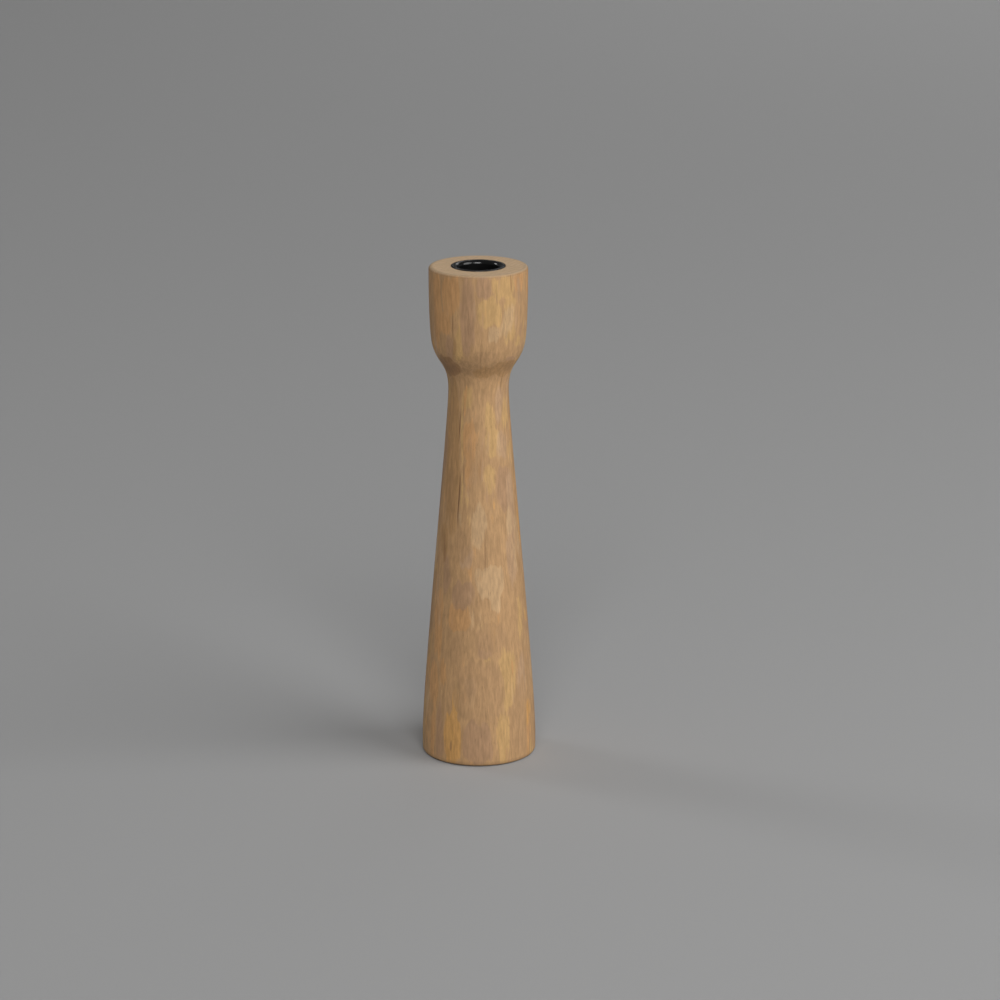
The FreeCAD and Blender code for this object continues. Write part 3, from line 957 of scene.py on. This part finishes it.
# %% A tree that lays hairs on a piece of felt
def make_hair_layer():
    inputs = {
        "Felt": ("Geometry", None),
        "Hairs per square metre": ("Float", 900000.0),
        "Hair length": ("Float", 0.0016),
        "Hair thickness": ("Float", 0.00005),
        "Seed": ("Int", 7),
        "Finish": ("Material", None),
    }
    tree, given, made = new_tree("lay_hairs", "GeometryNodeTree", inputs, {"Haired": ("Geometry", None)})
    length, thickness, seed = given["Hair length"], given["Hair thickness"], given["Seed"]
    feeds = {"Mesh": given["Felt"], "Density": given["Hairs per square metre"], "Seed": seed}
    spots = add_node(tree, "GeometryNodeDistributePointsOnFaces", None, feeds)

    # One hair is a bowed thread with three sides.
    middle = vector(tree, sums(tree, "MULTIPLY", length, 0.5), sums(tree, "MULTIPLY", length, 0.22))
    feeds = {"Resolution": 3, "Start": (0.0, 0.0, 0.0), "Middle": middle, "End": vector(tree, length)}
    bow = add_node(tree, "GeometryNodeCurveQuadraticBezier", None, feeds)
    feeds = {"Resolution": 3, "Radius": sums(tree, "MULTIPLY", thickness, 0.5)}
    ring = add_node(tree, "GeometryNodeCurvePrimitiveCircle", None, feeds)
    feeds = {"Curve": bow.outputs[0], "Profile Curve": ring.outputs[0], "Fill Caps": True}
    hair = add_node(tree, "GeometryNodeCurveToMesh", None, feeds)

    # Every hair is turned its own way and has its own size.
    feeds = {"Min": 0.0, "Max": math.tau, "Seed": seed}
    spin = add_node(tree, "FunctionNodeRandomValue", {"data_type": "FLOAT"}, feeds)
    feeds = {"Rotation": spots.outputs["Rotation"], "Rotate By": vector(tree, z=spin.outputs["Value"])}
    lie = add_node(tree, "FunctionNodeRotateEuler", {"space": "LOCAL"}, feeds)
    feeds = {"Min": 0.5, "Max": 1.25, "Seed": seed}
    size = add_node(tree, "FunctionNodeRandomValue", {"data_type": "FLOAT"}, feeds)
    feeds = {
        "Points": spots.outputs["Points"],
        "Instance": hair.outputs[0],
        "Rotation": lie.outputs[0],
        "Scale": size.outputs["Value"],
    }
    laid = add_node(tree, "GeometryNodeInstanceOnPoints", None, feeds)
    real = add_node(tree, "GeometryNodeRealizeInstances", None, {"Geometry": laid.outputs[0]})

    # A hair that would go through the table lies down on it.
    position = add_node(tree, "GeometryNodeInputPosition").outputs[0]
    where = add_node(tree, "ShaderNodeSeparateXYZ", None, {0: position}).outputs
    above = sums(tree, "MAXIMUM", where["Z"], sums(tree, "MULTIPLY", thickness, 0.2))
    feeds = {"Geometry": real.outputs[0], "Position": vector(tree, where["X"], where["Y"], above)}
    rested = add_node(tree, "GeometryNodeSetPosition", None, feeds)
    joined = add_node(tree, "GeometryNodeJoinGeometry")
    tree.links.new(rested.outputs[0], joined.inputs[0])
    tree.links.new(given["Felt"], joined.inputs[0])
    feeds = {"Geometry": joined.outputs[0], "Material": given["Finish"]}
    dressed = add_node(tree, "GeometryNodeSetMaterial", None, feeds)
    tree.links.new(dressed.outputs[0], made["Haired"])
    return tree


hair_layer = make_hair_layer()
print(f"the hair layer has {len(hair_layer.nodes)} nodes")

# %% Turn the pad and lay its hairs
PAD_FLAT, PAD_EDGE, PAD_THICKNESS, HAIR_ROOM = 26.5, 0.35, 2.0, 0.06
LUMP_SIZE, LUMP_HEIGHT = 2.6, 0.04
NICK_SIZE, NICK_DEPTH = 1.3, 0.10


def pad_outline():
    low, high = HAIR_ROOM, PAD_THICKNESS - HAIR_ROOM
    points = straight((0.0, high), (PAD_FLAT, high), 1.8)
    points += bend((PAD_FLAT, high - PAD_EDGE), PAD_EDGE, -90, 0, 3)
    points += bend((PAD_FLAT, low + PAD_EDGE), PAD_EDGE, 0, 90, 3)
    points += straight((PAD_FLAT, low), (0.0, low), 1.8)[1:]
    return points + [(0.0, low, 0.0)]


pad_blank = turned("pad_blank", pad_outline(), columns=150, finish=felt)
for vert in pad_blank.data.vertices:
    lump = noise.noise(vert.co / MM / LUMP_SIZE) * LUMP_HEIGHT * MM
    nick = noise.noise(vert.co / MM / NICK_SIZE + Vector((9, 9, 9))) * NICK_DEPTH * MM
    ring = math.hypot(vert.co.x, vert.co.y)
    vert.co.z += max(lump, 0) if vert.co.z < MM else min(lump, 0)
    if ring > (PAD_FLAT - 0.1) * MM:
        vert.co.xy = vert.co.xy * (1 - (abs(nick) + 0.0001) / ring)
add_tree(pad_blank, hair_layer, {"Finish": felt})
pad = taken_off(pad_blank, "pad")
print(f"pad: {triangles(pad)} triangles")

# %% [markdown]
# ## Pieces onto the frame
#
# Each piece rides on the one body and stands in the place of its CAD node, which is hidden.

# %% Ride, and hide the CAD nodes
for piece, node, slot in (
    (stick, "turned_stick", "turned_wood"),
    (cup, "candle_cup", "black_enamel"),
    (screw, "cup_screw", "blackened_steel"),
    (pad, "base_pad", "felt"),
):
    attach(piece, "root")
    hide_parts(node)
    print(f"{piece.name} stands for {node}")

# %% [markdown]
# ## Studio
#
# A plain grey floor, a large soft key light on the right, a second one in front, a weak one
# behind on the left, one over the far floor, and a dim even surround. The long lens stands a
# little over two metres away and looks down by sixteen degrees.

# %% Floor
def make_studio_grey():
    material = bpy.data.materials.new("studio_grey")
    material.use_nodes = True
    shader = material.node_tree.nodes["Principled BSDF"]
    shader.inputs["Base Color"].default_value = (0.42, 0.42, 0.42, 1)
    shader.inputs["Roughness"].default_value = 0.9
    shader.inputs["Specular IOR Level"].default_value = 0.1
    return material


FLOOR_HALF = 20
floor_corners = [(x * FLOOR_HALF, y * FLOOR_HALF, 0) for x, y in ((-1, -1), (1, -1), (1, 1), (-1, 1))]
floor_mesh = bpy.data.meshes.new("studio_floor")
floor_mesh.from_pydata(floor_corners, [], [(0, 1, 2, 3)])
floor_mesh.materials.append(make_studio_grey())
floor = placed("studio_floor", floor_mesh)
print(f"floor {2 * FLOOR_HALF} m across")

# %% Lights
AIM = Vector((0, 0, 0.14))
FAR_FLOOR = Vector((1.1, 3.4, 0))
SURROUND = 0.08


def soft_light(name, azimuth, elevation, distance, radius, watts, aim=AIM):
    """A round soft box that faces what it is aimed at, seen from there at an azimuth and elevation."""
    lamp = bpy.data.lights.new(name, "AREA")
    lamp.shape = "DISK"
    lamp.size = radius * 2
    lamp.energy = watts
    turn, rise = math.radians(azimuth), math.radians(elevation)
    away = Vector((math.cos(turn) * math.cos(rise), math.sin(turn) * math.cos(rise), math.sin(rise)))
    light = placed(name, lamp)
    light.location = aim + away * distance
    light.rotation_euler = away.to_track_quat("Z", "Y").to_euler()
    print(f"{name}: {watts} W from {distance} m")


soft_light("key", azimuth=-22, elevation=31, distance=3.0, radius=1.35, watts=52)
soft_light("front_fill", azimuth=274, elevation=34, distance=10.0, radius=3.0, watts=520)
soft_light("back_light", azimuth=150, elevation=30, distance=10.0, radius=1.5, watts=115)
soft_light("far_light", azimuth=0, elevation=90, distance=1.8, radius=1.1, watts=14, aim=FAR_FLOOR)
surround = bpy.data.worlds.new("surround")
surround.use_nodes = True
surround_light = surround.node_tree.nodes["Background"]
surround_light.inputs["Color"].default_value = (SURROUND, SURROUND, SURROUND, 1)
bpy.context.scene.world = surround
bpy.context.scene.view_settings.view_transform = "Standard"

# %% Camera
CAMERA_PLACE = (0, -2.0072, 0.7252)
CAMERA_PITCH, CAMERA_YAW = 16.082, -0.339

lens = bpy.data.cameras.new("camera")
lens.lens = 135
lens.sensor_width = 36
camera = placed("camera", lens)
camera.location = CAMERA_PLACE
camera.rotation_euler = (math.radians(90 - CAMERA_PITCH), 0, math.radians(CAMERA_YAW))
bpy.context.scene.camera = camera
print(f"camera {camera.location.length:.2f} m from the foot")
